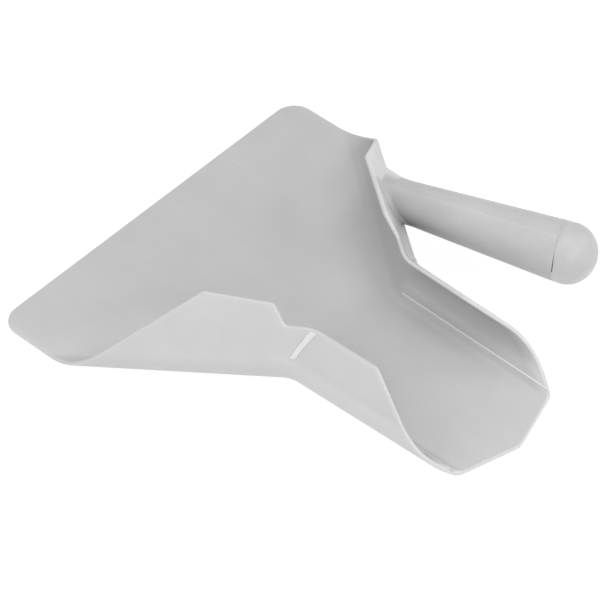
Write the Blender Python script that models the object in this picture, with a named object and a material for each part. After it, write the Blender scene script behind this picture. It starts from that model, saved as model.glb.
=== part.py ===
"""Right-handed bagging scoop in moulded plastic.

Frame: +Z up, +Y forward towards the wide mouth, +X towards the handle side.
The origin is on the flat underside, halfway along the pan, on its centre line.
All lengths are in metres and all angles are in degrees.

The pan is designed as a flat pattern that is rolled up at both sides.  A point
of the pattern has two coordinates: "along", measured on the fold line from the
neck (negative towards the mouth), and "girth", measured outwards from the fold
line and up the wall.
"""
import math

import bmesh
import bpy
import numpy as np
from mathutils import Vector

# ---------------------------------------------------------------- pan
PAN_LENGTH = 0.2472
HALF_WIDTH = 0.1084
WALL = 0.0022
RIM_RADIUS = WALL / 2

# fold lines in plan: the wings run in to the neck, the outlet runs on from it
NECK_X = 0.0314
NECK_BACK = 0.1310            # distance of the neck behind the front edge
WING_ANGLE = 38.0             # fold line of the wing to the centre line
OUTLET_TAPER = 1.4            # fold line of the outlet to the centre line
BEND_HALF = 0.0065            # half the length over which the neck bends
SETTLE = 0.028                # length over which the pattern settles past the neck

# curled walls: fillet radius, then a straight flank that leans inwards
WING_FILLET = 0.0153          # at the neck
WING_FILLET_GROWTH = 0.0238   # per metre along the fold line
WING_LEAN = 26.9              # at the neck
WING_LEAN_GROWTH = 38.0       # degrees per metre along the fold line
OUTLET_FILLET = 0.0128
OUTLET_LEAN = 37.5

# corners of the pattern (along, girth) and the radius of each corner
SIDE_BELLY = (-0.1062, 0.0150)
PEAK_FRONT = (-0.0470, 0.0590)
PEAK_BACK = (-0.0125, 0.0556)
NOTCH = (-0.0040, 0.0448)
OUTLET_TOP = (0.0517, 0.0447)
OUTLET_END = (0.1058, 0.0056)
FRONT_CORNER_RADIUS = 0.012
SIDE_BELLY_RADIUS = 0.150
PEAK_RADIUS = 0.004
NOTCH_RADIUS = 0.004
OUTLET_TOP_RADIUS = 0.006
OUTLET_END_RADIUS = 0.004
TIP_RADIUS = 0.008

# how far the front and back corners of the right and left wing lie from the outline's
RIGHT_CORNER_SHIFTS = (-0.0040, 0.0)
LEFT_CORNER_SHIFTS = (0.0013, 0.0016)

# raised rib on the outside of each neck bend
RIB_HALF = 0.0021
RIB_HEIGHT = 0.0005
RIB_SINK = 0.0008             # how deep its foot goes into the wall
RIB_GIRTH = (0.0287, 0.0436)
RIB_SLANT = 0.0056            # its low end lies this much nearer the mouth

# ---------------------------------------------------------------- handle
GRIP_ROOT = Vector((0.0642, 0.01115, 0.0335))
GRIP_OUTWARD = 21.9           # axis to the centre line, in plan
GRIP_DIP = 5.0                # axis below the horizontal
GRIP_LENGTH = 0.0840
GRIP_ROOT_RADIUS = 0.0105
GRIP_END_RADIUS = 0.0155
GRIP_WALL = 0.0024
FLANK_NORMAL_ALONG = -0.0386  # where the handle meets the wing
BOSS_HEIGHT = 0.0030          # at its middle
BOSS_FACE = Vector((0.466, -0.685, 0.560)).normalized()
BOSS_RISE = 0.0020            # its face stands this far out past the grip's root
BOSS_FLARE = 0.0030
BOSS_HOLLOW = 1.3             # 1 would make its foot a plain cone
BOSS_SINK = 0.0016
SPIGOT_RADIUS = 0.0060
SPIGOT_LENGTH = 0.0110
SPIGOT_HOLE_RADIUS = 0.0020
SPIGOT_HOLE_END = 0.0015
BULKHEAD = 0.0032
GAP = 0.0003

SCREW_HOLE_RADIUS = 0.0022
SCREW_RADIUS = 0.0017
SCREW_TIP = 0.0030
SCREW_POINT_LENGTH = 0.0020
SCREW_POINT_RADIUS = 0.0004
SCREW_HEAD_RADIUS = 0.0038
SCREW_HEAD_HEIGHT = 0.0026
SCREW_HEAD_EDGE = ((0.0010, 0.0), (0.0003, 0.0006), (0.0, 0.0016))  # (below its top, in from its side)
SCREW_RECESS = 0.0016         # radius and depth of the driver recess
SCREW_RECESS_TAPER = 0.8
WASHER_RADIUS = 0.0048
WASHER_THICKNESS = 0.0008

CAP_STRAIGHT = 0.0050
CAP_RADIUS = 0.0157
CAP_WALL = 0.0024
CAP_PLUG_DEPTH = 0.0090
CAP_PLUG_WALL = 0.0018

RING = 40                     # sides of every round piece


def clear_scene():
    for item in list(bpy.data.objects):
        bpy.data.objects.remove(item, do_unlink=True)


def plastic(name, colour, roughness, metallic=0.0):
    material = bpy.data.materials.new(name)
    material.use_nodes = True
    shader = material.node_tree.nodes["Principled BSDF"]
    shader.inputs["Base Color"].default_value = (*colour, 1.0)
    shader.inputs["Roughness"].default_value = roughness
    shader.inputs["Metallic"].default_value = metallic
    return material


def add_object(name, mesh_builder, material, sharp_angle=40.0):
    mesh = bpy.data.meshes.new(name)
    bmesh.ops.recalc_face_normals(mesh_builder, faces=mesh_builder.faces)
    mesh_builder.to_mesh(mesh)
    mesh_builder.free()
    mesh.materials.append(material)
    mesh.shade_smooth()
    mesh.set_sharp_from_angle(angle=math.radians(sharp_angle))
    item = bpy.data.objects.new(name, mesh)
    bpy.context.scene.collection.objects.link(item)
    return item


# ---------------------------------------------------------------- pan surface
def plan_direction(angle):
    """Unit vectors along a fold line (away from the mouth) and outwards from it."""
    turn = math.radians(angle)
    along = np.array([-math.sin(turn), math.cos(turn)])
    outward = np.array([math.cos(turn), math.sin(turn)])
    return along, outward


WING_ALONG, WING_OUT = plan_direction(WING_ANGLE)
OUTLET_ALONG, OUTLET_OUT = plan_direction(OUTLET_TAPER)
NECK = np.array([NECK_X, NECK_BACK])


def wall_profile(girth, radius, lean, depth):
    """Distance outwards and height of a point of the wall, "depth" below its inner face."""
    end_angle = math.radians(90.0 + lean)
    angle = min(max(girth / radius, 0.0), end_angle)
    straight = max(girth - radius * end_angle, 0.0)
    out = radius * math.sin(angle) + straight * math.cos(end_angle) + depth * math.sin(angle)
    up = radius * (1 - math.cos(angle)) + straight * math.sin(end_angle) - depth * math.cos(angle)
    if girth < 0.0:
        out = girth
    return out, up


def cross(first, second):
    return first[0] * second[1] - first[1] * second[0]


def ease(value):
    value = min(max(value, 0.0), 1.0)
    return value * value * (3 - 2 * value)


def pan_point(along, girth, depth=0.0, side=1):
    """Place a point of the pattern in space, "depth" below the inner face."""
    wing_out, wing_up = wall_profile(girth, WING_FILLET, WING_LEAN, depth)
    outlet_out, outlet_up = wall_profile(girth, OUTLET_FILLET, OUTLET_LEAN, depth)
    gap = outlet_out * OUTLET_OUT - wing_out * WING_OUT
    turn = cross(WING_ALONG, OUTLET_ALONG)
    wing_shift = cross(gap, OUTLET_ALONG) / turn
    outlet_shift = cross(gap, WING_ALONG) / turn
    settled = ease((along + SETTLE) / (2 * SETTLE))
    past = along - wing_shift - (outlet_shift - wing_shift) * settled
    bend = min(max((past + BEND_HALF) / (2 * BEND_HALF), 0.0), 1.0)
    turned = ease(bend)
    walked = 2 * BEND_HALF * (bend ** 3 - bend ** 4 / 2) + max(past - BEND_HALF, 0.0)
    mitre = NECK + wing_shift * WING_ALONG + wing_out * WING_OUT
    plan = mitre + past * WING_ALONG + walked * (OUTLET_ALONG - WING_ALONG)
    up = wing_up
    if past < 0.0 and girth > 0.0:
        radius = WING_FILLET + WING_FILLET_GROWTH * past
        lean = WING_LEAN + WING_LEAN_GROWTH * past
        local_out, up = wall_profile(girth, radius, lean, depth)
        plan = plan + (local_out - wing_out) * WING_OUT
    up = up + (outlet_up - up) * turned
    return Vector((side * plan[0], PAN_LENGTH / 2 - plan[1], up + WALL))


def in_pattern(x, back, along_vector, outward):
    """Pattern coordinates of a point of the floor, given in plan."""
    offset = np.array([x, back]) - NECK
    return np.array([offset @ along_vector, offset @ outward])


def rounded(points, radii, steps, spacing):
    """Outline through the points with round corners: a list of (point, normal)."""
    points = [np.array(point) for point in points]
    outline = []

    def straight(start, end):
        direction = (end - start) / np.linalg.norm(end - start)
        normal = np.array([-direction[1], direction[0]])
        count = max(int(np.linalg.norm(end - start) / spacing), 1)
        for step in range(count + 1):
            outline.append((start + (end - start) * step / count, normal))

    start = points[0]
    for index in range(1, len(points) - 1):
        corner = points[index]
        before = (points[index - 1] - corner) / np.linalg.norm(points[index - 1] - corner)
        after = (points[index + 1] - corner) / np.linalg.norm(points[index + 1] - corner)
        half = math.acos(float(np.clip(before @ after, -1, 1))) / 2
        reach = radii[index - 1] / math.tan(half)
        first = corner + before * reach
        last = corner + after * reach
        straight(start, first)
        bisector = (before + after) / np.linalg.norm(before + after)
        centre = corner + bisector * radii[index - 1] / math.sin(half)
        convex = 1.0 if cross(before, after) > 0 else -1.0
        begin = math.atan2(*(first - centre)[::-1])
        sweep = math.atan2(cross(first - centre, last - centre), (first - centre) @ (last - centre))
        for step in range(1, steps):
            angle = begin + sweep * step / steps
            normal = np.array([math.cos(angle), math.sin(angle)])
            outline.append((centre + radii[index - 1] * normal, convex * normal))
        start = last
    straight(start, points[-1])
    return outline


def pan_outline(steps=4, spacing=0.0075):
    """Half the edge of the pattern, from the middle of the mouth to the tip."""
    mouth = in_pattern(0.0, 0.0, WING_ALONG, WING_OUT)
    corner = in_pattern(HALF_WIDTH, 0.0, WING_ALONG, WING_OUT)
    tip = in_pattern(0.0, PAN_LENGTH, OUTLET_ALONG, OUTLET_OUT)
    lip = np.array(OUTLET_END) - tip
    across = lip[0] * OUTLET_ALONG + lip[1] * OUTLET_OUT
    mirrored = np.array([-across[0], across[1]])
    far_lip = tip + np.array([mirrored @ OUTLET_ALONG, mirrored @ OUTLET_OUT])
    points = [mouth, corner, SIDE_BELLY, PEAK_FRONT, PEAK_BACK, NOTCH, OUTLET_TOP, OUTLET_END]
    points += [tip, far_lip]
    radii = [FRONT_CORNER_RADIUS, SIDE_BELLY_RADIUS, PEAK_RADIUS, PEAK_RADIUS, NOTCH_RADIUS]
    radii += [OUTLET_TOP_RADIUS, OUTLET_END_RADIUS, TIP_RADIUS]
    outline = rounded(points, radii, steps, spacing)
    return [item for item in outline if pan_point(*item[0]).x > -1e-6]


def inset_outline():
    """The edge moved in by the rim's radius, with a point wherever it crosses the fold."""
    inset = [(point - RIM_RADIUS * normal, normal) for point, normal in pan_outline()]
    split = [inset[0]]
    for (start, _), (end, normal) in zip(inset, inset[1:]):
        if start[1] * end[1] < 0.0:
            share = start[1] / (start[1] - end[1])
            split.append((np.array([start[0] + (end[0] - start[0]) * share, 0.0]), normal))
        if np.linalg.norm(end - start) > 1e-6:
            split.append((end, normal))
    return split


def shifted(point, side):
    """Moves a point of the pattern along its wall, for wings whose corners differ a little."""
    front, back = RIGHT_CORNER_SHIFTS if side > 0 else LEFT_CORNER_SHIFTS
    along, girth = point
    shift = np.interp(along, (PEAK_FRONT[0], PEAK_BACK[0], NOTCH[0]), (front, back, 0.0))
    rise = np.clip((girth - SIDE_BELLY[1]) / (PEAK_FRONT[1] - SIDE_BELLY[1]), 0.0, 1.0)
    return along + shift * rise, girth


def build_pan(rows=10, rim_steps=4):
    """Closed shell: inner and outer faces, joined by a rounded rim."""
    builder = bmesh.new()
    outline = inset_outline()
    wall = [index for index, (point, _) in enumerate(outline) if point[1] >= 0.0]
    first, last = wall[0], wall[-1]

    def place(point, depth, side):
        vertex = pan_point(*shifted(point, side), depth, side)
        if abs(vertex.x) < 1e-5:
            vertex.x = 0.0
        return builder.verts.new(vertex)

    def skin(grid):
        for lower, upper in zip(grid, grid[1:]):
            for index in range(len(lower) - 1):
                builder.faces.new((lower[index], lower[index + 1], upper[index + 1], upper[index]))

    for depth in (0.0, WALL):
        floors = []
        for side in (1, -1):
            grid = []
            for row in range(rows + 1):
                share = row / rows
                line = [(outline[i][0][0], outline[i][0][1] * share) for i in wall]
                grid.append([place(point, depth, side) for point in line])
            skin(grid)
            edge = [place(point, depth, side) for point, _ in outline[:first]]
            edge += grid[0]
            edge += [place(point, depth, side) for point, _ in outline[last + 1:]]
            floors.append(edge)
        builder.faces.new(floors[0] + floors[1][::-1][1:-1])

    for side in (1, -1):
        rim = []
        for step in range(rim_steps + 1):
            turn = math.pi * step / rim_steps
            reach = RIM_RADIUS * math.sin(turn)
            depth = RIM_RADIUS * (1 - math.cos(turn))
            rim.append([place(point + reach * normal, depth, side) for point, normal in outline])
        skin(rim)
    bmesh.ops.remove_doubles(builder, verts=builder.verts, dist=2e-6)
    bmesh.ops.dissolve_degenerate(builder, edges=builder.edges, dist=1e-7)
    bmesh.ops.triangulate(builder, faces=[face for face in builder.faces if len(face.verts) > 4])
    return builder


def build_rib(side, along_steps=3, girth_steps=8):
    """A low bar on the outside of the neck bend, its foot sunk in the wall."""
    builder = bmesh.new()
    low, high = RIB_GIRTH
    layers = []
    for depth in (WALL - RIB_SINK, WALL + RIB_HEIGHT):
        layer = []
        for row in range(girth_steps + 1):
            girth = low + (high - low) * row / girth_steps
            centre = bend_along(girth) - RIB_SLANT * (high - girth) / (high - low)
            line = np.linspace(centre - RIB_HALF, centre + RIB_HALF, along_steps + 1)
            layer.append([builder.verts.new(pan_point(at, girth, depth, side)) for at in line])
        layers.append(layer)
    loft_box(builder, layers)
    return builder


def loft_box(builder, layers):
    """Close two equal grids of vertices into a solid."""
    for layer in layers:
        for lower, upper in zip(layer, layer[1:]):
            for index in range(len(lower) - 1):
                builder.faces.new((lower[index], lower[index + 1], upper[index + 1], upper[index]))
    borders = []
    for layer in layers:
        border = layer[0][:-1] + [row[-1] for row in layer[:-1]]
        border += layer[-1][:0:-1] + [row[0] for row in layer[:0:-1]]
        borders.append(border)
    count = len(borders[0])
    for index in range(count):
        follow = (index + 1) % count
        builder.faces.new((borders[0][index], borders[0][follow], borders[1][follow], borders[1][index]))


def bend_along(girth):
    """The pattern's "along" at which the neck bends, at this girth, on the outer face."""
    wing_out, _ = wall_profile(girth, WING_FILLET, WING_LEAN, WALL)
    outlet_out, _ = wall_profile(girth, OUTLET_FILLET, OUTLET_LEAN, WALL)
    gap = outlet_out * OUTLET_OUT - wing_out * WING_OUT
    turn = cross(WING_ALONG, OUTLET_ALONG)
    wing_shift = cross(gap, OUTLET_ALONG) / turn
    outlet_shift = cross(gap, WING_ALONG) / turn
    along = 0.0
    for _ in range(20):
        settled = ease((along + SETTLE) / (2 * SETTLE))
        along = wing_shift + (outlet_shift - wing_shift) * settled
    return along


# ---------------------------------------------------------------- turned pieces
def grip_axis():
    turn = math.radians(GRIP_OUTWARD)
    dip = math.radians(GRIP_DIP)
    flat = math.cos(dip)
    return Vector((math.sin(turn) * flat, -math.cos(turn) * flat, -math.sin(dip)))


def flank_normal():
    lean = math.radians(WING_LEAN + WING_LEAN_GROWTH * FLANK_NORMAL_ALONG)
    level = math.cos(lean)
    return Vector((WING_OUT[0] * level, -WING_OUT[1] * level, math.sin(lean)))


AXIS = grip_axis()
ACROSS = AXIS.cross(Vector((0.0, 0.0, 1.0))).normalized()
ABOVE = ACROSS.cross(AXIS)
NORMAL = flank_normal()


def spoke(index):
    turn = 2 * math.pi * index / RING
    return ACROSS * math.cos(turn) + ABOVE * math.sin(turn)


def ring(builder, radius, distance=0.0):
    """A ring round the handle's axis, square to it."""
    centre = GRIP_ROOT + AXIS * distance
    return [builder.verts.new(centre + spoke(index) * radius) for index in range(RING)]


def cut_distance(direction, radius, growth, normal, height):
    """Where a generator of the handle meets a plane, measured along the handle's axis."""
    lean = direction.dot(normal)
    return (height - radius * lean) / (AXIS.dot(normal) + growth * lean)


def cut_ring(builder, radius, height, growth=0.0):
    """A ring round the handle's axis, cut "height" above the root, parallel to the boss face."""
    vertices = []
    for index in range(RING):
        direction = spoke(index)
        at = cut_distance(direction, radius, growth, BOSS_FACE, height)
        reach = radius + growth * at
        vertices.append(builder.verts.new(GRIP_ROOT + AXIS * at + direction * reach))
    return vertices


def join_rings(builder, rings, closed=False):
    pairs = list(zip(rings, rings[1:]))
    if closed:
        pairs.append((rings[-1], rings[0]))
    for lower, upper in pairs:
        for index in range(RING):
            follow = (index + 1) % RING
            builder.faces.new((lower[index], lower[follow], upper[follow], upper[index]))


def turned(profile, open_ends=False):
    """Closed solid turned round the handle's axis from (distance, radius) pairs."""
    builder = bmesh.new()
    rings = [ring(builder, radius, distance) for distance, radius in profile]
    join_rings(builder, rings, closed=open_ends)
    if not open_ends:
        builder.faces.new(rings[0])
        builder.faces.new(rings[-1])
    return builder


def build_boss(steps=4):
    """Oblique boss with a concave foot, a spigot and a blind screw hole."""
    builder = bmesh.new()
    rings = []
    for step in range(steps + 1):
        share = step / steps
        radius = GRIP_ROOT_RADIUS + BOSS_FLARE * (1 - share) ** BOSS_HOLLOW
        vertices = []
        for index in range(RING):
            direction = spoke(index)
            foot = cut_distance(direction, radius, 0.0, NORMAL, -BOSS_HEIGHT - BOSS_SINK)
            face = cut_distance(direction, radius, 0.0, BOSS_FACE, BOSS_RISE)
            at = foot + (face - foot) * share
            vertices.append(builder.verts.new(GRIP_ROOT + AXIS * at + direction * radius))
        rings.append(vertices)
    rings.append(cut_ring(builder, SPIGOT_RADIUS, BOSS_RISE))
    rings.append(ring(builder, SPIGOT_RADIUS, SPIGOT_LENGTH))
    rings.append(ring(builder, SPIGOT_HOLE_RADIUS, SPIGOT_LENGTH))
    rings.append(ring(builder, SPIGOT_HOLE_RADIUS, SPIGOT_HOLE_END))
    join_rings(builder, rings)
    builder.faces.new(rings[0])
    builder.faces.new(rings[-1])
    return builder


def build_grip():
    builder = bmesh.new()
    growth = (GRIP_END_RADIUS - GRIP_ROOT_RADIUS) / GRIP_LENGTH
    socket = SPIGOT_RADIUS + GAP
    floor = SPIGOT_LENGTH + GAP
    seat = floor + BULKHEAD
    rings = [cut_ring(builder, GRIP_ROOT_RADIUS, BOSS_RISE + GAP, growth)]
    for distance in (seat, GRIP_LENGTH / 2, GRIP_LENGTH):
        rings.append(ring(builder, GRIP_ROOT_RADIUS + growth * distance, distance))
    rings.append(ring(builder, GRIP_END_RADIUS - GRIP_WALL, GRIP_LENGTH))
    rings.append(ring(builder, GRIP_ROOT_RADIUS + growth * seat - GRIP_WALL, seat))
    rings.append(ring(builder, SCREW_HOLE_RADIUS, seat))
    rings.append(ring(builder, SCREW_HOLE_RADIUS, floor))
    rings.append(ring(builder, socket, floor))
    rings.append(cut_ring(builder, socket, BOSS_RISE + GAP))
    join_rings(builder, rings, closed=True)
    return builder


def build_washer():
    seat = SPIGOT_LENGTH + BULKHEAD + 2 * GAP
    top = seat + WASHER_THICKNESS
    profile = [(seat, SCREW_HOLE_RADIUS), (seat, WASHER_RADIUS), (top, WASHER_RADIUS)]
    profile.append((top, SCREW_HOLE_RADIUS))
    return turned(profile, open_ends=True)


def build_screw():
    under_head = SPIGOT_LENGTH + BULKHEAD + WASHER_THICKNESS + 3 * GAP
    top = under_head + SCREW_HEAD_HEIGHT
    profile = [(SCREW_TIP, SCREW_POINT_RADIUS), (SCREW_TIP + SCREW_POINT_LENGTH, SCREW_RADIUS)]
    profile += [(under_head, SCREW_RADIUS), (under_head, SCREW_HEAD_RADIUS)]
    profile += [(top - below, SCREW_HEAD_RADIUS - inset) for below, inset in SCREW_HEAD_EDGE]
    profile += [(top, SCREW_RECESS), (top - SCREW_RECESS, SCREW_RECESS * SCREW_RECESS_TAPER)]
    return turned(profile)


def build_cap(steps=9):
    """Domed cap with a hollow plug that goes down the grip's bore."""
    seam = GRIP_LENGTH + GAP
    growth = (GRIP_END_RADIUS - GRIP_ROOT_RADIUS) / GRIP_LENGTH
    plug = GRIP_END_RADIUS - GRIP_WALL - GAP - growth * CAP_PLUG_DEPTH
    centre = seam + CAP_STRAIGHT
    profile = [(seam - CAP_PLUG_DEPTH, plug), (seam, plug), (seam, GRIP_END_RADIUS)]
    for step in range(steps):
        turn = math.pi / 2 * step / steps
        profile.append((centre + CAP_RADIUS * math.sin(turn), CAP_RADIUS * math.cos(turn)))
    outer = list(profile)
    hollow = CAP_RADIUS - CAP_WALL
    inner = []
    for step in range(steps):
        turn = math.pi / 2 * (steps - 1 - step) / steps
        inner.append((centre + hollow * math.sin(turn), min(hollow * math.cos(turn), plug - CAP_PLUG_WALL)))
    inner.append((seam - CAP_PLUG_DEPTH, plug - CAP_PLUG_WALL))
    builder = bmesh.new()
    outside = [ring(builder, radius, distance) for distance, radius in outer]
    inside = [ring(builder, radius, distance) for distance, radius in inner]
    join_rings(builder, outside)
    join_rings(builder, inside)
    join_rings(builder, [inside[-1], outside[0]])
    builder.faces.new(outside[-1])
    builder.faces.new(inside[0])
    return builder


def unite(target, tools):
    """Join helper solids to the target, which keeps one closed body."""
    for tool in tools:
        tool.hide_render = True
        tool.display_type = "WIRE"
        modifier = target.modifiers.new("join_" + tool.name, "BOOLEAN")
        modifier.operation = "UNION"
        modifier.solver = "EXACT"
        modifier.object = tool


def main():
    clear_scene()
    pan_plastic = plastic("pan_plastic", (0.56, 0.56, 0.56), 0.42)
    grip_plastic = plastic("grip_plastic", (0.56, 0.56, 0.56), 0.45)
    steel = plastic("zinc_steel", (0.62, 0.63, 0.65), 0.32, 1.0)

    pan = add_object("scoop_pan", build_pan(), pan_plastic)
    boss = add_object("handle_boss", build_boss(), pan_plastic)
    ribs = [add_object("neck_rib_left", build_rib(-1), pan_plastic)]
    ribs.append(add_object("neck_rib_right", build_rib(1), pan_plastic))
    unite(pan, [boss, *ribs])

    add_object("handle_grip", build_grip(), grip_plastic)
    add_object("grip_washer", build_washer(), steel)
    add_object("grip_screw", build_screw(), steel)
    add_object("handle_end_cap", build_cap(), grip_plastic)


main()
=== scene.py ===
"""Looks for the right-handed bagging scoop.

Same frame as the CAD model: metres, +Z up, +Y forward to the mouth, +X to the
handle side, origin on the flat underside, halfway along the pan.

The pan is a flat pattern rolled up at both sides.  A point of the pattern has
two coordinates: "along", measured on the fold line from the neck (negative
towards the mouth), and "girth", measured outwards from the fold line and up
the wall.
"""
import math

import bmesh
import bpy
import numpy as np
from mathutils import Matrix, Vector
from mathutils.bvhtree import BVHTree
from mathutils.kdtree import KDTree


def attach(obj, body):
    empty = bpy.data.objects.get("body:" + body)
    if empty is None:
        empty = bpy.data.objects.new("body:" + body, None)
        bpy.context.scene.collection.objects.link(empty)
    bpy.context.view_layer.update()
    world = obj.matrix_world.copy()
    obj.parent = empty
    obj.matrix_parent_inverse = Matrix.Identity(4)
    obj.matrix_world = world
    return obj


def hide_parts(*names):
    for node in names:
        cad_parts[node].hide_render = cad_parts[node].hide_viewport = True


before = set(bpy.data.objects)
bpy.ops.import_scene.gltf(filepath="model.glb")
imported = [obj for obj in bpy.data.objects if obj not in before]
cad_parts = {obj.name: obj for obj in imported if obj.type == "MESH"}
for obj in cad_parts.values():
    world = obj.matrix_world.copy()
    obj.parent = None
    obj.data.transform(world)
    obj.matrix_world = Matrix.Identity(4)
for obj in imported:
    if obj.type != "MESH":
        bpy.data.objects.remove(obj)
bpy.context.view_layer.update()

# ---------------------------------------- sizes
# Lengths are in metres and angles in degrees; a growth is per metre along.
PAN_LENGTH = 0.2472  # from the mouth to the tip of the outlet
HALF_WIDTH = 0.1084  # of the mouth
WALL = 0.0022
RIM_RADIUS = WALL / 2

NECK_X = 0.0314  # where the fold lines of wing and outlet meet
NECK_BACK = 0.1310  # and how far behind the mouth
WING_ANGLE = 38.0  # of the wing's fold line, from straight back
OUTLET_TAPER = 1.4
BEND_HALF = 0.0065  # half the rounded stretch of the neck
SETTLE = 0.028  # half the stretch over which the wall's mitre settles

WING_FILLET = 0.0153  # radius between floor and wall, at the neck
WING_FILLET_GROWTH = 0.0238
WING_LEAN = 26.9  # how far the wall leans inwards, at the neck
WING_LEAN_GROWTH = 38.0
OUTLET_FILLET = 0.0128
OUTLET_LEAN = 37.5

# corners of the pattern's edge, as (along, girth), and the radii that round them
SIDE_BELLY = (-0.1062, 0.0150)
PEAK_FRONT = (-0.0470, 0.0590)
PEAK_BACK = (-0.0125, 0.0556)
NOTCH = (-0.0040, 0.0448)
OUTLET_TOP = (0.0517, 0.0447)
OUTLET_END = (0.1058, 0.0056)
FRONT_CORNER_RADIUS = 0.012
SIDE_BELLY_RADIUS = 0.150
PEAK_RADIUS = 0.004
NOTCH_RADIUS = 0.004
OUTLET_TOP_RADIUS = 0.006
OUTLET_END_RADIUS = 0.004
TIP_RADIUS = 0.008

# how far the front and back corners of the right and left wing lie from the outline's
RIGHT_CORNER_SHIFTS = (-0.0040, 0.0)
LEFT_CORNER_SHIFTS = (0.0013, 0.0016)

RIB_HALF = 0.0021
RIB_HEIGHT = 0.0004
RIB_EDGE = 0.0003  # width of the rib's rounded edge
RIB_GIRTH = (0.0287, 0.0437)
RIB_SLANT = 0.0056  # its low end lies this much nearer the mouth
RIB_NOSE = 0.0001  # its low end has most of its height this far up
RIB_NOSE_SHARE = 0.6
SINK = 0.0004  # how deep the hidden side of rib and foot lies in the wall

RIDGE_GIRTH = 0.0070
RIDGE_HEIGHT = 0.0008  # the inner face swells to a crest along the outlet
RIDGE_SPREAD = (0.0032, 0.0050)  # how far it reaches, floor side and rim side
RIDGE_TAIL = 2.2  # times its spread, where the swelling has died out
RIDGE_START = (0.0030, 0.0110)
BEAD_HALF = 0.00045  # fine bead on the crest
BEAD_HEIGHT = 0.00022
BEAD_ALONG = (0.0050, 0.1036)
BEAD_MARGIN = 0.0002  # its height would fade to nothing this far past its ends
BEAD_RUNS = (0.0040, 0.0010)  # lengths over which it rises and falls
BEAD_LAP = 0.0001  # its sides start this deep in the wall
BEAD_SINK = 0.0005  # and its hidden side lies this deep
BEAD_FOOT = 1.2  # times its half width

GRIP_ROOT = Vector((0.0642, 0.01115, 0.0335))
GRIP_OUTWARD = 21.9  # of the grip's axis, from straight back
GRIP_DIP = 5.0
GRIP_LENGTH = 0.0840
GRIP_ROOT_RADIUS = 0.0105
GRIP_END_RADIUS = 0.0155
GRIP_WALL = 0.0024
GRIP_EDGE = 0.00025  # rounding of the edges at its two joints
EDGE_MIDDLE = 0.3  # middle of such an edge, as a share of the rounding
PARTING_ANGLES = (78.0, -102.0)
PARTING_WANDER = 9.0  # over the grip's length
PARTING_HEIGHT = 0.00012
PARTING_SIDE = (3.3, 1.1)  # angles beside the line where it starts and is full

BOSS_FACE = Vector((0.466, -0.685, 0.560)).normalized()
FOOT_HEIGHT = 0.0020  # how far the foot's end stands out past the root
FOOT_TONGUE = 0.0034  # and how much further round its top
FOOT_TONGUE_ANGLE = 125.0
FOOT_SPREAD = (0.0009, 0.0034)  # fillet at the handle's foot, below and on top
FOOT_TOP_ANGLE = 110.0
FOOT_SPREAD_BACK = 0.0080  # and how much wider it is round its back, away from the pan
FOOT_BACK_ANGLE = 160.0
FOOT_FILL = 0.45  # how much less hollow the fillet is round its back
FOOT_LEAST = 0.0002  # least width of the fillet
FOOT_CLEARANCE = 0.0012  # wall that is left between the foot and the wall's edge
FOOT_CORE = 0.0005  # radius of the foot's innermost hidden ring
WALL_SEARCH = (0.020, 0.060)  # looked for from this far ahead, over this length
WALL_FACING = 0.15  # least share of its normal that points along the handle
COLLAR_FLARE = 0.0005  # the grip swells a little towards the foot
COLLAR_ANGLE = 120.0
COLLAR_ROUNDNESS = 0.7  # power of the flare's fall round the handle
COLLAR_LENGTH = 0.0060
ROOT_EDGE = 0.00004  # the grip's first edge where it is almost shut
ROOT_OPEN_BELOW = (-150.0, -120.0)  # angles over which it opens
ROOT_OPEN_SIDE = (30.0, -10.0)
ROOT_LIFT = 0.00002  # between the foot and the grip
ROOT_SLOPE = 0.4  # how far the foot's edge falls, as a share of its rounding

SPIGOT_RADIUS = 0.0060
SPIGOT_LENGTH = 0.0110
BULKHEAD = 0.0032
GAP = 0.0003
SCREW_HOLE_RADIUS = 0.0022
CAP_STRAIGHT = 0.0050
CAP_RADIUS = 0.0157
CAP_HEIGHT = 0.0147  # of its dome
CAP_PLUG_DEPTH = 0.0090
CAP_EDGE_SWELL = 0.00001  # how much wider than the grip it is, at its edge
CAP_SWELL = 0.0001  # and where it has swollen
CAP_SWELL_PLACE = 0.0030  # past the grip's end
SEAM_SKEW = (0.0012, -0.0007)  # how far its sides lie from square, across and on top
SEAM_CLOSED = 0.00001  # its gap where it is shut
SEAM_LINE = 0.00006  # and how much more where it is a line
SEAM_OPEN = 0.00038  # or wide open
SEAM_LEAST_EDGE = 0.00002  # rounding of the edges where the seam is shut
SEAM_SHUT_BELOW = (-6.0, 4.0)  # angles over which the gap opens, going up
SEAM_LINE_ANGLES = (74.0, 66.0)  # and, from the top down, first to a line
SEAM_OPEN_ANGLES = (44.0, 4.0)  # and then wide

COLUMN_SPACING = 0.0016
MOUTH_SPACING = 0.0030
ARC_SPACING = 0.0006
LOW_ROWS = 10  # rows of the wall up to the ridge
LOW_ROWS_SHARE = 1 / 1.2  # most of the wall's girth that they take
HIGH_ROWS = 28
ROW_CROWDING = 1.35  # the higher rows start close together
RIM_STEPS = 8
RIB_STEPS = 24  # along the rib, then round its edges and over its face
RIB_EDGE_STEPS = 4
RIB_FACE_STEPS = 6
BEAD_STEPS = 90  # along the bead, then over it
BEAD_ARC_STEPS = 6
TURN_SIDES = 144  # sides of the handle
FOOT_STEPS = 18  # over the foot's fillet
HIDDEN_RINGS = 4  # of the foot, inside the wall
REACH_STEPS = 40  # tries at the foot's reach, from the widest
REACH_SMOOTHING = 9  # sides to either hand that even out that reach
GRIP_STEPS = 40
GRIP_CROWDING = 1.5  # the rings start close together at the root
CAP_STEPS = 26  # over the dome
SETTLE_ROUNDS = 20  # of homing in on the bend
EDGE_FADE = 0.0010  # how far the rim's polish reaches in
ON_EDGE = 1e-6  # points nearer than this count as the same
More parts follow.
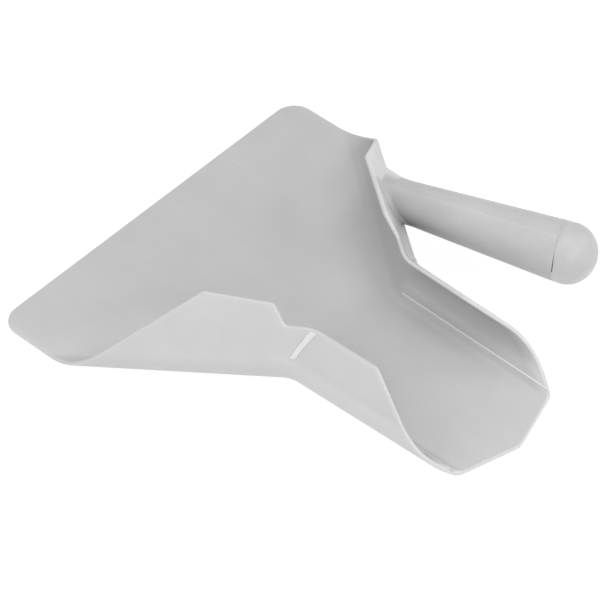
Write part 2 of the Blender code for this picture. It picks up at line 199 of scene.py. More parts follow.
ON_MIDDLE = 1e-5  # points nearer the middle plane than this are put on it
MERGED = 2e-6  # vertices nearer than this are merged
SLIVER = 1e-7  # edges shorter than this are dissolved
SHARP_ANGLE = 50.0


# ---------------------------------------- pan surface
def plan_direction(angle):
    turn = math.radians(angle)
    along = np.array([-math.sin(turn), math.cos(turn)])
    outward = np.array([math.cos(turn), math.sin(turn)])
    return along, outward


WING_ALONG, WING_OUT = plan_direction(WING_ANGLE)
OUTLET_ALONG, OUTLET_OUT = plan_direction(OUTLET_TAPER)
NECK = np.array([NECK_X, NECK_BACK])


def cross(first, second):
    return first[0] * second[1] - first[1] * second[0]


def ease(value):
    value = min(max(value, 0.0), 1.0)
    return value * value * (3 - 2 * value)


def blend(pair, share):
    return pair[0] + (pair[1] - pair[0]) * share


def ramp(value, start, end):
    """Smooth step: 0 up to "start" and 1 from "end" on, which may be the lower of the two."""
    return ease((value - start) / (end - start))


def wall_profile(girth, radius, lean, depth):
    """Reach and height of the wall at this girth, for one fillet radius and lean."""
    end_angle = math.radians(90.0 + lean)
    angle = min(max(girth / radius, 0.0), end_angle)
    straight = max(girth - radius * end_angle, 0.0)
    out = radius * math.sin(angle) + straight * math.cos(end_angle) + depth * math.sin(angle)
    up = radius * (1 - math.cos(angle)) + straight * math.sin(end_angle) - depth * math.cos(angle)
    if girth < 0.0:
        out = girth
    return out, up


def bend_shifts(wing_out, outlet_out):
    """How far along wing and outlet their walls meet, for these reaches outwards."""
    gap = outlet_out * OUTLET_OUT - wing_out * WING_OUT
    turn = cross(WING_ALONG, OUTLET_ALONG)
    return cross(gap, OUTLET_ALONG) / turn, cross(gap, WING_ALONG) / turn


def pan_point(along, girth, depth=0.0, side=1):
    """Place a point of the pattern in space, "depth" below the inner face."""
    wing_out, wing_up = wall_profile(girth, WING_FILLET, WING_LEAN, depth)
    outlet_out, outlet_up = wall_profile(girth, OUTLET_FILLET, OUTLET_LEAN, depth)
    wing_shift, outlet_shift = bend_shifts(wing_out, outlet_out)
    past = along - blend((wing_shift, outlet_shift), ramp(along, -SETTLE, SETTLE))
    bend = min(max((past + BEND_HALF) / (2 * BEND_HALF), 0.0), 1.0)
    # "walked" is the way along the outlet: the integral of the eased bend
    walked = 2 * BEND_HALF * (bend ** 3 - bend ** 4 / 2) + max(past - BEND_HALF, 0.0)
    mitre = NECK + wing_shift * WING_ALONG + wing_out * WING_OUT
    plan = mitre + past * WING_ALONG + walked * (OUTLET_ALONG - WING_ALONG)
    up = wing_up
    if past < 0.0 and girth > 0.0:
        radius = WING_FILLET + WING_FILLET_GROWTH * past
        lean = WING_LEAN + WING_LEAN_GROWTH * past
        local_out, up = wall_profile(girth, radius, lean, depth)
        plan = plan + (local_out - wing_out) * WING_OUT
    up = blend((up, outlet_up), ease(bend))
    return Vector((side * plan[0], PAN_LENGTH / 2 - plan[1], up + WALL))


def bend_along(girth):
    """The pattern's "along" at which the neck bends, at this girth, on the outer face."""
    wing_out, _ = wall_profile(girth, WING_FILLET, WING_LEAN, WALL)
    outlet_out, _ = wall_profile(girth, OUTLET_FILLET, OUTLET_LEAN, WALL)
    shifts = bend_shifts(wing_out, outlet_out)
    along = 0.0
    for _ in range(SETTLE_ROUNDS):
        along = blend(shifts, ramp(along, -SETTLE, SETTLE))
    return along


def in_pattern(x, back, along_vector, outward):
    """A point of the floor as (along, girth), seen from one of the two fold lines."""
    offset = np.array([x, back]) - NECK
    return np.array([offset @ along_vector, offset @ outward])


def rounded(points, radii):
    """Outline through the points with round corners: a list of (point, normal)."""
    points = [np.array(point) for point in points]
    outline = []

    def straight(start, end, spacing):
        direction = (end - start) / np.linalg.norm(end - start)
        normal = np.array([-direction[1], direction[0]])
        count = max(int(np.linalg.norm(end - start) / spacing), 1)
        for step in range(count + 1):
            outline.append((start + (end - start) * step / count, normal))

    start = points[0]
    for index in range(1, len(points) - 1):
        corner = points[index]
        radius = radii[index - 1]
        before = (points[index - 1] - corner) / np.linalg.norm(points[index - 1] - corner)
        after = (points[index + 1] - corner) / np.linalg.norm(points[index + 1] - corner)
        half = math.acos(float(np.clip(before @ after, -1, 1))) / 2
        reach = radius / math.tan(half)
        first = corner + before * reach
        last = corner + after * reach
        straight(start, first, MOUTH_SPACING if index == 1 else COLUMN_SPACING)
        bisector = (before + after) / np.linalg.norm(before + after)
        centre = corner + bisector * radius / math.sin(half)
        convex = 1.0 if cross(before, after) > 0 else -1.0
        begin = math.atan2(*(first - centre)[::-1])
        sweep = math.atan2(cross(first - centre, last - centre), (first - centre) @ (last - centre))
        steps = 2 * max(int(abs(sweep) * radius / ARC_SPACING / 2), 2)
        for step in range(1, steps):
            angle = begin + sweep * step / steps
            normal = np.array([math.cos(angle), math.sin(angle)])
            outline.append((centre + radius * normal, convex * normal))
        start = last
    straight(start, points[-1], COLUMN_SPACING)
    return outline


def pan_outline():
    """Half the edge of the pattern, from the middle of the mouth to the tip."""
    mouth = in_pattern(0.0, 0.0, WING_ALONG, WING_OUT)
    corner = in_pattern(HALF_WIDTH, 0.0, WING_ALONG, WING_OUT)
    tip = in_pattern(0.0, PAN_LENGTH, OUTLET_ALONG, OUTLET_OUT)
    lip = np.array(OUTLET_END) - tip
    across = lip[0] * OUTLET_ALONG + lip[1] * OUTLET_OUT
    mirrored = np.array([-across[0], across[1]])
    far_lip = tip + np.array([mirrored @ OUTLET_ALONG, mirrored @ OUTLET_OUT])
    points = [mouth, corner, SIDE_BELLY, PEAK_FRONT, PEAK_BACK, NOTCH, OUTLET_TOP, OUTLET_END]
    points += [tip, far_lip]
    radii = [FRONT_CORNER_RADIUS, SIDE_BELLY_RADIUS, PEAK_RADIUS, PEAK_RADIUS, NOTCH_RADIUS]
    radii += [OUTLET_TOP_RADIUS, OUTLET_END_RADIUS, TIP_RADIUS]
    return [item for item in rounded(points, radii) if pan_point(*item[0]).x > -ON_EDGE]


def inset_outline():
    """The edge moved in by the rim's radius, with a point wherever it crosses the fold."""
    inset = [(point - RIM_RADIUS * normal, normal) for point, normal in pan_outline()]
    split = [inset[0]]
    for (start, _), (end, normal) in zip(inset, inset[1:]):
        if start[1] * end[1] < 0.0:
            share = start[1] / (start[1] - end[1])
            split.append((np.array([start[0] + (end[0] - start[0]) * share, 0.0]), normal))
        if np.linalg.norm(end - start) > ON_EDGE:
            split.append((end, normal))
    return split


def shifted(point, side):
    """Moves a point of the pattern along its wall, for wings whose corners differ a little."""
    front, back = RIGHT_CORNER_SHIFTS if side > 0 else LEFT_CORNER_SHIFTS
    along, girth = point
    shift = np.interp(along, (PEAK_FRONT[0], PEAK_BACK[0], NOTCH[0]), (front, back, 0.0))
    rise = np.clip((girth - SIDE_BELLY[1]) / (PEAK_FRONT[1] - SIDE_BELLY[1]), 0.0, 1.0)
    return along + shift * rise, girth


def row_girths(edge):
    """Girths of one column's rows: even up to the ridge, then spread up to the edge."""
    low = min(RIDGE_GIRTH, edge * LOW_ROWS_SHARE)
    girths = [low * row / LOW_ROWS for row in range(LOW_ROWS)]
    for row in range(HIGH_ROWS + 1):
        girths.append(low + (edge - low) * (row / HIGH_ROWS) ** ROW_CROWDING)
    return girths


def crest_depth(along, girth):
    """How far the inner face swells inwards beside the ridge of the outlet (negative)."""
    away = girth - RIDGE_GIRTH
    spread = RIDGE_SPREAD[0] if away < 0.0 else RIDGE_SPREAD[1]
    share = max(0.0, 1.0 - abs(away) / (RIDGE_TAIL * spread))
    return -RIDGE_HEIGHT * ramp(along, *RIDGE_START) * share * share


# ---------------------------------------- mesh helpers
def skin(builder, grid, closed=False):
    """Quads between neighbouring rows of vertices."""
    for lower, upper in zip(grid, grid[1:]):
        count = len(lower)
        for index in range(count if closed else count - 1):
            follow = (index + 1) % count
            builder.faces.new((lower[index], lower[follow], upper[follow], upper[index]))


def closed_skin(builder, rings):
    """Quads between the rings, and a face at either end."""
    skin(builder, rings, closed=True)
    builder.faces.new(rings[0])
    builder.faces.new(rings[-1])
    return builder


def cleaned(builder):
    bmesh.ops.remove_doubles(builder, verts=builder.verts, dist=MERGED)
    bmesh.ops.dissolve_degenerate(builder, edges=builder.edges, dist=SLIVER)
    bmesh.ops.recalc_face_normals(builder, faces=builder.faces)
    return builder


def add_object(name, data):
    item = bpy.data.objects.new(name, data)
    bpy.context.scene.collection.objects.link(item)
    return item


def add_piece(name, builders, material, node, polish_and_painted_shading):
    """One object from closed bmesh shells; a function gives each vertex its polish, whose paler
    colour is a painted sheen, and its tone of painted light and shade.
    """
    whole = bmesh.new()
    polish_and_sheen = whole.verts.layers.float.new("polish_and_sheen")
    painted_shading = whole.verts.layers.float.new("painted_shading")
    for number, builder in enumerate(builders):
        cleaned(builder)
        builder.normal_update()
        places = {}
        for vertex in builder.verts:
            copy = whole.verts.new(vertex.co)
            copy[polish_and_sheen], copy[painted_shading] = polish_and_painted_shading(number, vertex)
            places[vertex] = copy
        for face in builder.faces:
            whole.faces.new([places[vertex] for vertex in face.verts])
        builder.free()
    mesh = bpy.data.meshes.new(name)
    whole.to_mesh(mesh)
    whole.free()
    mesh.materials.append(material)
    mesh.shade_smooth()
    mesh.set_sharp_from_angle(angle=math.radians(SHARP_ANGLE))
    item = add_object(name, mesh)
    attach(item, "root")
    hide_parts(node)
    return item


# ---------------------------------------- pan
def build_shell():
    """Floor ladder, rolled walls and a fully rounded rim, as one closed shell."""
    builder = bmesh.new()
    outline = inset_outline()
    wall = [index for index, (point, _) in enumerate(outline) if point[1] >= 0.0]
    mouth_line = PAN_LENGTH / 2 - RIM_RADIUS - ON_EDGE
    front = [index for index in range(wall[0]) if pan_point(*outline[index][0]).y > mouth_line]

    def place(point, depth, side):
        if depth == 0.0:
            depth = crest_depth(*point)
        vertex = pan_point(*shifted(point, side), depth, side)
        if abs(vertex.x) < ON_MIDDLE:
            vertex.x = 0.0
        return builder.verts.new(vertex)

    for depth in (0.0, WALL):
        for side in (1, -1):
            columns = [row_girths(outline[index][0][1]) for index in wall]
            grid = []
            for row in range(len(columns[0])):
                line = [(outline[index][0][0], column[row]) for index, column in zip(wall, columns)]
                grid.append([place(point, depth, side) for point in line])
            skin(builder, grid)
        mouth = [place(outline[index][0], depth, -1) for index in front[::-1]]
        mouth += [place(outline[index][0], depth, 1) for index in front[1:]]
        ladder = [mouth]
        cells = len(mouth) - 1
        for index in range(front[-1] + 1, len(outline)):
            along, girth = outline[index][0]
            edge = pan_point(along, min(girth, 0.0), depth)
            shares = [2 * cell / cells - 1 for cell in range(cells + 1)]
            ladder.append([builder.verts.new((edge.x * share, edge.y, edge.z)) for share in shares])
        skin(builder, ladder)

    for side in (1, -1):
        rim = []
        for step in range(RIM_STEPS + 1):
            turn = math.pi * step / RIM_STEPS
            reach = RIM_RADIUS * math.sin(turn)
            depth = RIM_RADIUS * (1 - math.cos(turn))
            rim.append([place(point + reach * normal, depth, side) for point, normal in outline])
        skin(builder, rim)
    return cleaned(builder)


def rim_tree():
    """The middle line of the rim, to tell how near the edge a point is."""
    outline = inset_outline()
    tree = KDTree(2 * len(outline))
    for number, (point, normal) in enumerate(outline):
        for side in (1, -1):
            reach = point + RIM_RADIUS * normal
            place = pan_point(*shifted(reach, side), RIM_RADIUS, side)
            tree.insert(place, 2 * number + (side > 0))
    tree.balance()
    return tree


def sweep_on_wall(sections, side):
    """Closed bar on the wall, from sections of (along, girth, depth) points."""
    builder = bmesh.new()
    rings = []
    for section in sections:
        rings.append([builder.verts.new(pan_point(*point, side)) for point in section])
    return closed_skin(builder, rings)


def rib_profile():
    """Cross-section of the rib as (offset, share of its height); below 0 is its hidden side."""
    inner = RIB_HALF - RIB_EDGE
    edge = []
    for step in range(RIB_EDGE_STEPS + 1):
        turn = math.pi / 2 * step / RIB_EDGE_STEPS
        edge.append((-inner - RIB_EDGE * math.cos(turn), math.sin(turn)))
    face = [(inner * (2 * step / RIB_FACE_STEPS - 1), 1.0) for step in range(1, RIB_FACE_STEPS)]
    mirrored = [(-offset, share) for offset, share in edge[::-1]]
    return [(-RIB_HALF, -1.0)] + edge + face + mirrored + [(RIB_HALF, -1.0)]


def build_rib(side):
    """The raised bar on the outside of the neck bend, with soft edges."""
    low, high = RIB_GIRTH
    full = low + RIB_EDGE
    girths = [low, low + RIB_NOSE]
    girths += [full + (high - full) * step / RIB_STEPS for step in range(RIB_STEPS + 1)]
    profile = rib_profile()
    sections = []
    for number, girth in enumerate(girths):
        centre = bend_along(girth) - RIB_SLANT * (high - girth) / (high - low)
        rise = RIB_HEIGHT * (0.0, RIB_NOSE_SHARE, 1.0)[min(number, 2)]
        sections.append([(centre + offset, girth, WALL + (rise * share if share >= 0.0 else -SINK))
                         for offset, share in profile])
    return sweep_on_wall(sections, side)


def build_bead(side):
    """The fine raised line on the crest of the outlet's ridge."""
    low, high = BEAD_ALONG
    before, after = low - BEAD_MARGIN, high + BEAD_MARGIN
    sections = []
    for number in range(BEAD_STEPS + 1):
        along = low + (high - low) * number / BEAD_STEPS
        base = crest_depth(along, RIDGE_GIRTH)
        rise = BEAD_HEIGHT * ramp(along, before, before + BEAD_RUNS[0])
        rise *= ramp(along, after, after - BEAD_RUNS[1])
        section = [(along, RIDGE_GIRTH - BEAD_HALF * BEAD_FOOT, base + BEAD_SINK)]
        for step in range(BEAD_ARC_STEPS + 1):
            turn = math.pi * step / BEAD_ARC_STEPS
            depth = base + BEAD_LAP - (rise + BEAD_LAP) * math.sin(turn)
            section.append((along, RIDGE_GIRTH - BEAD_HALF * math.cos(turn), depth))
        section.append((along, RIDGE_GIRTH + BEAD_HALF * BEAD_FOOT, base + BEAD_SINK))
        sections.append(section)
    return sweep_on_wall(sections, side)


# ---------------------------------------- handle
def heading(azimuth, elevation):
    """Unit vector this far round from straight back towards +X, and this far up."""
    turn, rise = math.radians(azimuth), math.radians(elevation)
    flat = math.cos(rise)
    return Vector((math.sin(turn) * flat, -math.cos(turn) * flat, math.sin(rise)))


AXIS = heading(GRIP_OUTWARD, -GRIP_DIP)
ACROSS = AXIS.cross(Vector((0.0, 0.0, 1.0))).normalized()
ABOVE = ACROSS.cross(AXIS)
GROWTH = (GRIP_END_RADIUS - GRIP_ROOT_RADIUS) / GRIP_LENGTH


def spoke(index):
    """Direction of one side of the handle: spoke 0 points across it, towards the pan."""
    turn = 2 * math.pi * index / TURN_SIDES
    return ACROSS * math.cos(turn) + ABOVE * math.sin(turn)


def spoke_angle(index):
    """The same as an angle, from -180 to 180: 0 towards the pan, 90 on top."""
    return (360.0 * index / TURN_SIDES + 180.0) % 360.0 - 180.0


def on_spoke(builder, index, distance, radius):
    """A vertex this far along the handle's axis and this far out from it."""
    return builder.verts.new(GRIP_ROOT + AXIS * distance + spoke(index) * radius)


def turned_ring(builder, distance, radius):
    """A ring round the axis; distance and radius may be functions of the spoke's number."""
    ring = []
    for index in range(TURN_SIDES):
        at = distance(index) if callable(distance) else distance
        reach = radius(index) if callable(radius) else radius
        ring.append(on_spoke(builder, index, at, reach))
    return ring


def face_distance(direction, radius, height=0.0, growth=0.0):
    """Where a generator of the handle meets the boss face, measured along the axis."""
    lean = direction.dot(BOSS_FACE)
    return (height - radius * lean) / (AXIS.dot(BOSS_FACE) + growth * lean)


def lobe(index, angle):
    """1 at this angle round the handle, falling to 0 a quarter turn to either side."""
    return max(math.cos(math.radians(360.0 * index / TURN_SIDES - angle)), 0.0)


def collar_flare(index):
    """How much wider the grip is at the foot, mostly on top."""
    return COLLAR_FLARE * lobe(index, COLLAR_ANGLE) ** COLLAR_ROUNDNESS


def foot_height(index):
    """How far the foot's end stands out past the root: a plane with a tongue on top."""
    return FOOT_HEIGHT + FOOT_TONGUE * lobe(index, FOOT_TONGUE_ANGLE) ** 2


def root_edge(index):
    """Rounding of the grip's first edge: open below, almost shut on top."""
    turn = spoke_angle(index)
    return ROOT_EDGE + GRIP_EDGE * ramp(turn, *ROOT_OPEN_SIDE) * ramp(turn, *ROOT_OPEN_BELOW)


def foot_distance(direction, radius, wall_tree):
    """Where a line along the handle meets the wall's outer face; None where it misses."""
    ahead, length = WALL_SEARCH
    start = GRIP_ROOT + direction * radius + AXIS * ahead
    place, normal, _, distance = wall_tree.ray_cast(start, -AXIS, length)
    if place is None or normal.dot(AXIS) < WALL_FACING:
        return None
    return ahead - distance


def foot_reach(index, wall_tree):
    """Radius of the foot on the wall: less where the wall's edge is near."""
    wanted = blend(FOOT_SPREAD, math.sqrt(lobe(index, FOOT_TOP_ANGLE)))
    wanted += FOOT_SPREAD_BACK * lobe(index, FOOT_BACK_ANGLE) ** 2 + collar_flare(index)
    for step in range(REACH_STEPS + 1):
        reach = GRIP_ROOT_RADIUS + wanted * (1 - step / REACH_STEPS)
        if foot_distance(spoke(index), reach + FOOT_CLEARANCE, wall_tree) is not None:
            return reach
    return GRIP_ROOT_RADIUS


def even_reach(index, reaches):
    """The foot's reach, evened out with its neighbours' but never past its own."""
    hands = range(-REACH_SMOOTHING, REACH_SMOOTHING + 1)
    near = [reaches[(index + hand) % TURN_SIDES] for hand in hands]
    return min(sum(near) / len(near), reaches[index])


def foot_profile(index, reach, wall_tree):
    """One side of the foot as (distance, radius): hidden rings, the fillet and its end."""
    direction = spoke(index)
    height = foot_height(index)
    end = face_distance(direction, GRIP_ROOT_RADIUS, height)
    top = min(outer_radius(index, end), reach - FOOT_LEAST)
    fullness = 1.0 - FOOT_FILL * lobe(index, FOOT_BACK_ANGLE)
    profile = []
    for number in range(HIDDEN_RINGS):
        radius = FOOT_CORE + (reach - FOOT_CORE) * number / (HIDDEN_RINGS - 1)
        profile.append((foot_distance(direction, radius, wall_tree) - SINK, radius))
    for step in range(FOOT_STEPS + 1):
        turn = math.pi / 2 * step / FOOT_STEPS
        radius = top + (reach - top) * (1 - math.sin(turn)) ** fullness
        low = foot_distance(direction, radius, wall_tree)
        face = face_distance(direction, radius, height)
        profile.append((low + (face - low) * (1 - math.cos(turn)), radius))
    edge = root_edge(index)
    profile.append((face_distance(direction, top - edge, height) + edge * ROOT_SLOPE, top - edge))
    profile.append((face_distance(direction, SPIGOT_RADIUS, height), SPIGOT_RADIUS))
    return profile


def build_boss(wall_tree):
    """The handle's foot: a concave fillet from the wall up to the boss face."""
    builder = bmesh.new()
    reaches = [foot_reach(index, wall_tree) for index in range(TURN_SIDES)]
    columns = []
    for index in range(TURN_SIDES):
        profile = foot_profile(index, even_reach(index, reaches), wall_tree)
        columns.append([on_spoke(builder, index, distance, radius) for distance, radius in profile])
    return closed_skin(builder, [list(ring) for ring in zip(*columns)])


def on_parting(turn, distance):
    """1 on the two parting lines, which wander a little along the grip; 0 beside them."""
    turn += PARTING_WANDER * distance / GRIP_LENGTH
    away = min(abs((turn - parting + 180.0) % 360.0 - 180.0) for parting in PARTING_ANGLES)
    return ramp(away, *PARTING_SIDE)


def outer_radius(index, distance):
    """Radius of the grip, with its collar and a fine parting line at the top and the bottom."""
    radius = GRIP_ROOT_RADIUS + GROWTH * distance
    start = face_distance(spoke(index), GRIP_ROOT_RADIUS, foot_height(index))
    share = max(0.0, 1.0 - (distance - start) / COLLAR_LENGTH)
    radius += collar_flare(index) * share * share
    return radius + PARTING_HEIGHT * on_parting(360.0 * index / TURN_SIDES, distance)


def seam_place(index):
    """Distance along the axis where the grip ends: the seam is a little askew."""
    turn = 2 * math.pi * index / TURN_SIDES
    return GRIP_LENGTH + SEAM_SKEW[0] * math.cos(turn) + SEAM_SKEW[1] * math.sin(turn)


def seam_opening(index):
    """Gap between grip and cap: shut on top and below, open towards the pan."""
    turn = spoke_angle(index)
    gap = SEAM_LINE * ramp(turn, *SEAM_LINE_ANGLES) + SEAM_OPEN * ramp(turn, *SEAM_OPEN_ANGLES)
    return SEAM_CLOSED + gap * ramp(turn, *SEAM_SHUT_BELOW)


def seam_edge(index):
    """Rounding of the two edges at the seam: hardly any where it is shut."""
    return min(GRIP_EDGE, SEAM_LEAST_EDGE + seam_opening(index))


def seam_radius(share):
    """Radius at the seam, in from the grip's outside by this share of the rounding."""
    return lambda index: GRIP_END_RADIUS - seam_edge(index) * share


def build_grip():
    """Hollow tapered grip with a bulkhead for the screw, open at the cap's end."""
    builder = bmesh.new()
    socket = SPIGOT_RADIUS + GAP
    floor = SPIGOT_LENGTH + GAP
    seat = floor + BULKHEAD
    rings = []

    def root(inset, rise):
        """A ring just above the foot, in from the grip's outside, in shares of the rounding."""
        ring = []
        for index in range(TURN_SIDES):
            direction = spoke(index)
            height = foot_height(index) + ROOT_LIFT + root_edge(index) * rise
            at = face_distance(direction, GRIP_ROOT_RADIUS, height, GROWTH)
            radius = outer_radius(index, at) - root_edge(index) * inset
            ring.append(on_spoke(builder, index, face_distance(direction, radius, height), radius))
        return ring

    rings.append(root(1.0, 0.0))
    rings.append(root(EDGE_MIDDLE, EDGE_MIDDLE))
    ends = root(0.0, 1.0)
    rings.append(ends)
    starts = [(vertex.co - GRIP_ROOT).dot(AXIS) for vertex in ends]
    for step in range(1, GRIP_STEPS + 1):
        share = (step / GRIP_STEPS) ** GRIP_CROWDING
        ring = []
        for index in range(TURN_SIDES):
            at = starts[index] + (seam_place(index) - GRIP_EDGE - starts[index]) * share
            ring.append(on_spoke(builder, index, at, outer_radius(index, at)))
        rings.append(ring)
    profile = (
        (lambda index: seam_place(index) - seam_edge(index) * EDGE_MIDDLE, seam_radius(EDGE_MIDDLE)),
        (seam_place, seam_radius(1.0)),
        (seam_place, GRIP_END_RADIUS - GRIP_WALL),
        (seat, GRIP_ROOT_RADIUS + GROWTH * seat - GRIP_WALL),
        (seat, SCREW_HOLE_RADIUS),
        (floor, SCREW_HOLE_RADIUS),
        (floor, socket),
        (lambda index: face_distance(spoke(index), socket, foot_height(index) + ROOT_LIFT), socket),
    )
    rings += [turned_ring(builder, distance, radius) for distance, radius in profile]
    rings.append(rings[0])
    skin(builder, rings, closed=True)
    return builder


def build_cap():
    """Domed cap: a plug in the bore, then an edge that opens away from the grip."""
    builder = bmesh.new()
    plug = GRIP_END_RADIUS - GRIP_WALL - GAP - GROWTH * CAP_PLUG_DEPTH

    def edge(share):
        return lambda index: seam_place(index) + seam_opening(index) + seam_edge(index) * share

    profile = [
        (GRIP_LENGTH - CAP_PLUG_DEPTH, plug),
        (edge(0.0), plug),
        (edge(0.0), seam_radius(1.0)),
        (edge(EDGE_MIDDLE), seam_radius(EDGE_MIDDLE)),
        (edge(1.0), GRIP_END_RADIUS + CAP_EDGE_SWELL),
        (GRIP_LENGTH + CAP_SWELL_PLACE, GRIP_END_RADIUS + CAP_SWELL),
    ]
    centre = GRIP_LENGTH + GAP + CAP_STRAIGHT
    for step in range(CAP_STEPS):
        turn = math.pi / 2 * step / CAP_STEPS
        profile.append((centre + CAP_HEIGHT * math.sin(turn), CAP_RADIUS * math.cos(turn)))
    rings = [turned_ring(builder, distance, radius) for distance, radius in profile]
    return closed_skin(builder, rings)


# ---------------------------------------- materials
# Scales are in features per metre; shades and tones are shares of the colour.
PLASTIC_IOR = 1.49
CLOUDS = 26.0
PATCHES = 90.0
PEEL = 330.0
GRAIN = 1500.0
# stretch and turn of each set of scratches, and where its noise starts to show
SCRATCHES = (((900.0, 16.0, 900.0), 12.0, 0.66), ((700.0, 20.0, 700.0), -31.0, 0.68))
SCRATCH_EDGE = 0.06  # of the noise, from no scratch to a full one
SCUFFED = (0.42, 0.62)  # of the clouds, where scratches come through
SCUFFS_ELSEWHERE = 0.15
PATCH_SHARE = 0.6  # of the mottling
FLOW_SHARE = 0.8
FLOW_RANGE = (0.35, 0.65)  # of the flow's noise
GRAIN_SWING = 0.012
SCUFF_TONE = 0.035
# share of the colour that a polish of 1 paints on as a paler sheen
POLISH_SHEEN_TONE = 0.16  # what a polish or a tone of 1 does to the colour
# share of the colour that a tone of 1 paints on as light; below 0 it paints shade
PAINTED_SHADING_TONE = 0.16
GLOSS_SWING = 0.05  # of the roughness
SCUFF_ROUGHNESS = 0.12
POLISH_SMOOTHNESS = 0.10
GRAIN_RELIEF = 0.25  # shares of the bump's height
PEEL_RELIEF = 0.6
SCUFF_RELIEF = 0.25
PLASTIC_BUMP = (0.35, 0.00006)  # strength and height
STEEL_CLOUDS = 420.0
STEEL_GRAIN = 2600.0
STEEL_SHADE = (0.50, 0.66)
STEEL_SWING = 0.03
STEEL_TINT = (0.98, 1.0, 1.03)
STEEL_ROUGHNESS = (0.26, 0.42)
STEEL_BUMP = (0.3, 0.00002)

# Painted shade: the pan's colour darkens towards one corner of the mouth.
CORNER_WAY = (0.545, 0.838, 0.0)  # towards the darker corner of the mouth
CORNER_REACH = 0.14
CORNER_PAINTED_SHADE = 0.06
# Painted shade on the grip: darker all round its root, and more on its underside.
ROOT_PAINTED_SHADE = 0.16  # of the grip, all round its root
ROOT_SHADE_LENGTH = 0.045
UNDER_PAINTED_SHADE = (0.78, 0.28)  # of its underside, at the root and further on
UNDER_SHADE_LENGTH = 0.050
UNDER_SHADE_HEIGHT = (-0.0105, 0.005)  # from full to none, from the axis
END_PAINTED_SHADE = (1.0, 0.4)  # what is left of that towards the cap
END_SHADE_ALONG = (0.050, 0.085)


def add_node(tree, kind, **settings):
    node = tree.nodes.new(kind)
    for key, value in settings.items():
        setattr(node, key, value)
    return node


def noise(tree, source, scale, detail=2.0, stretch=(1.0, 1.0, 1.0), turn=(0.0, 0.0, 0.0)):
    """Noise on the object's own coordinates; scale is in features per metre."""
    mapping = add_node(tree, "ShaderNodeMapping")
    mapping.inputs["Scale"].default_value = stretch
    mapping.inputs["Rotation"].default_value = [math.radians(value) for value in turn]
    tree.links.new(source, mapping.inputs["Vector"])
    texture = add_node(tree, "ShaderNodeTexNoise")
    texture.inputs["Scale"].default_value = scale
    texture.inputs["Detail"].default_value = detail
    tree.links.new(mapping.outputs["Vector"], texture.inputs["Vector"])
    return texture.outputs["Fac"]


def ranged(tree, value, low, high, out_low, out_high):
    """Smooth step from one range to another."""
    node = add_node(tree, "ShaderNodeMapRange", interpolation_type="SMOOTHSTEP")
    tree.links.new(value, node.inputs["Value"])
    sockets = {"From Min": low, "From Max": high, "To Min": out_low, "To Max": out_high}
    for name, number in sockets.items():
        node.inputs[name].default_value = number
    return node.outputs["Result"]


def spread(tree, value, out_low, out_high):
    """A noise's values, most of which lie between 0.3 and 0.7, spread over a range."""
    return ranged(tree, value, 0.30, 0.70, out_low, out_high)


def combine(tree, operation, first, second):
    node = add_node(tree, "ShaderNodeMath", operation=operation)
    for socket, value in zip(node.inputs, (first, second)):
        if isinstance(value, (int, float)):
            socket.default_value = value
        else:
            tree.links.new(value, socket)
    return node.outputs["Value"]


def total(tree, value, *terms):
    """Sum of a value and terms, each a (value, factor) pair or a number."""
    for term in terms:
        if isinstance(term, tuple):
            term = combine(tree, "MULTIPLY", *term)
        value = combine(tree, "ADD", value, term)
    return value


def new_material(name):
    """A material, its node tree and its shader."""
    material = bpy.data.materials.new(name)
    material.use_nodes = True
    return material, material.node_tree, material.node_tree.nodes["Principled BSDF"]


def add_grey(tree, shader, level, tint=(1.0, 1.0, 1.0)):
    """Sets the base colour to a grey of this level, times a tint."""
    colour = add_node(tree, "ShaderNodeCombineColor")
    for channel, factor in zip(("Red", "Green", "Blue"), tint):
        tree.links.new(combine(tree, "MULTIPLY", level, factor), colour.inputs[channel])
    tree.links.new(colour.outputs["Color"], shader.inputs["Base Color"])


def add_bump(tree, shader, height, strength, distance):
    bump = add_node(tree, "ShaderNodeBump")
    bump.inputs["Strength"].default_value = strength
    bump.inputs["Distance"].default_value = distance
    tree.links.new(height, bump.inputs["Height"])
    tree.links.new(bump.outputs["Normal"], shader.inputs["Normal"])


def measured(tree, source, origin, direction):
    """How far a point lies from "origin" along "direction"."""
    offset = add_node(tree, "ShaderNodeVectorMath", operation="SUBTRACT")
    tree.links.new(source, offset.inputs[0])
    offset.inputs[1].default_value = origin
    product = add_node(tree, "ShaderNodeVectorMath", operation="DOT_PRODUCT")
    tree.links.new(offset.outputs["Vector"], product.inputs[0])
    product.inputs[1].default_value = direction
    return product.outputs["Value"]


def pan_corner_painted_shade(tree, source):
    """Painted shade: the floor darkens a little towards one corner of the mouth."""
    reach = measured(tree, source, (0.0, 0.0, 0.0), CORNER_WAY)
    return ranged(tree, reach, 0.0, CORNER_REACH, 0.0, CORNER_PAINTED_SHADE)


def grip_root_painted_shade(tree, source):
    """Painted shade: the grip is a little darker near its root, most of all below."""
    along = measured(tree, source, GRIP_ROOT, AXIS)
    above = measured(tree, source, GRIP_ROOT, ABOVE)
    below = combine(tree, "MULTIPLY", ranged(tree, along, 0.0, UNDER_SHADE_LENGTH, *UNDER_PAINTED_SHADE),
                    ranged(tree, above, *UNDER_SHADE_HEIGHT, 1.0, 0.0))
    below = combine(tree, "MULTIPLY", below, ranged(tree, along, *END_SHADE_ALONG, *END_PAINTED_SHADE))
    return combine(tree, "ADD", below, ranged(tree, along, 0.0, ROOT_SHADE_LENGTH, ROOT_PAINTED_SHADE, 0.0))


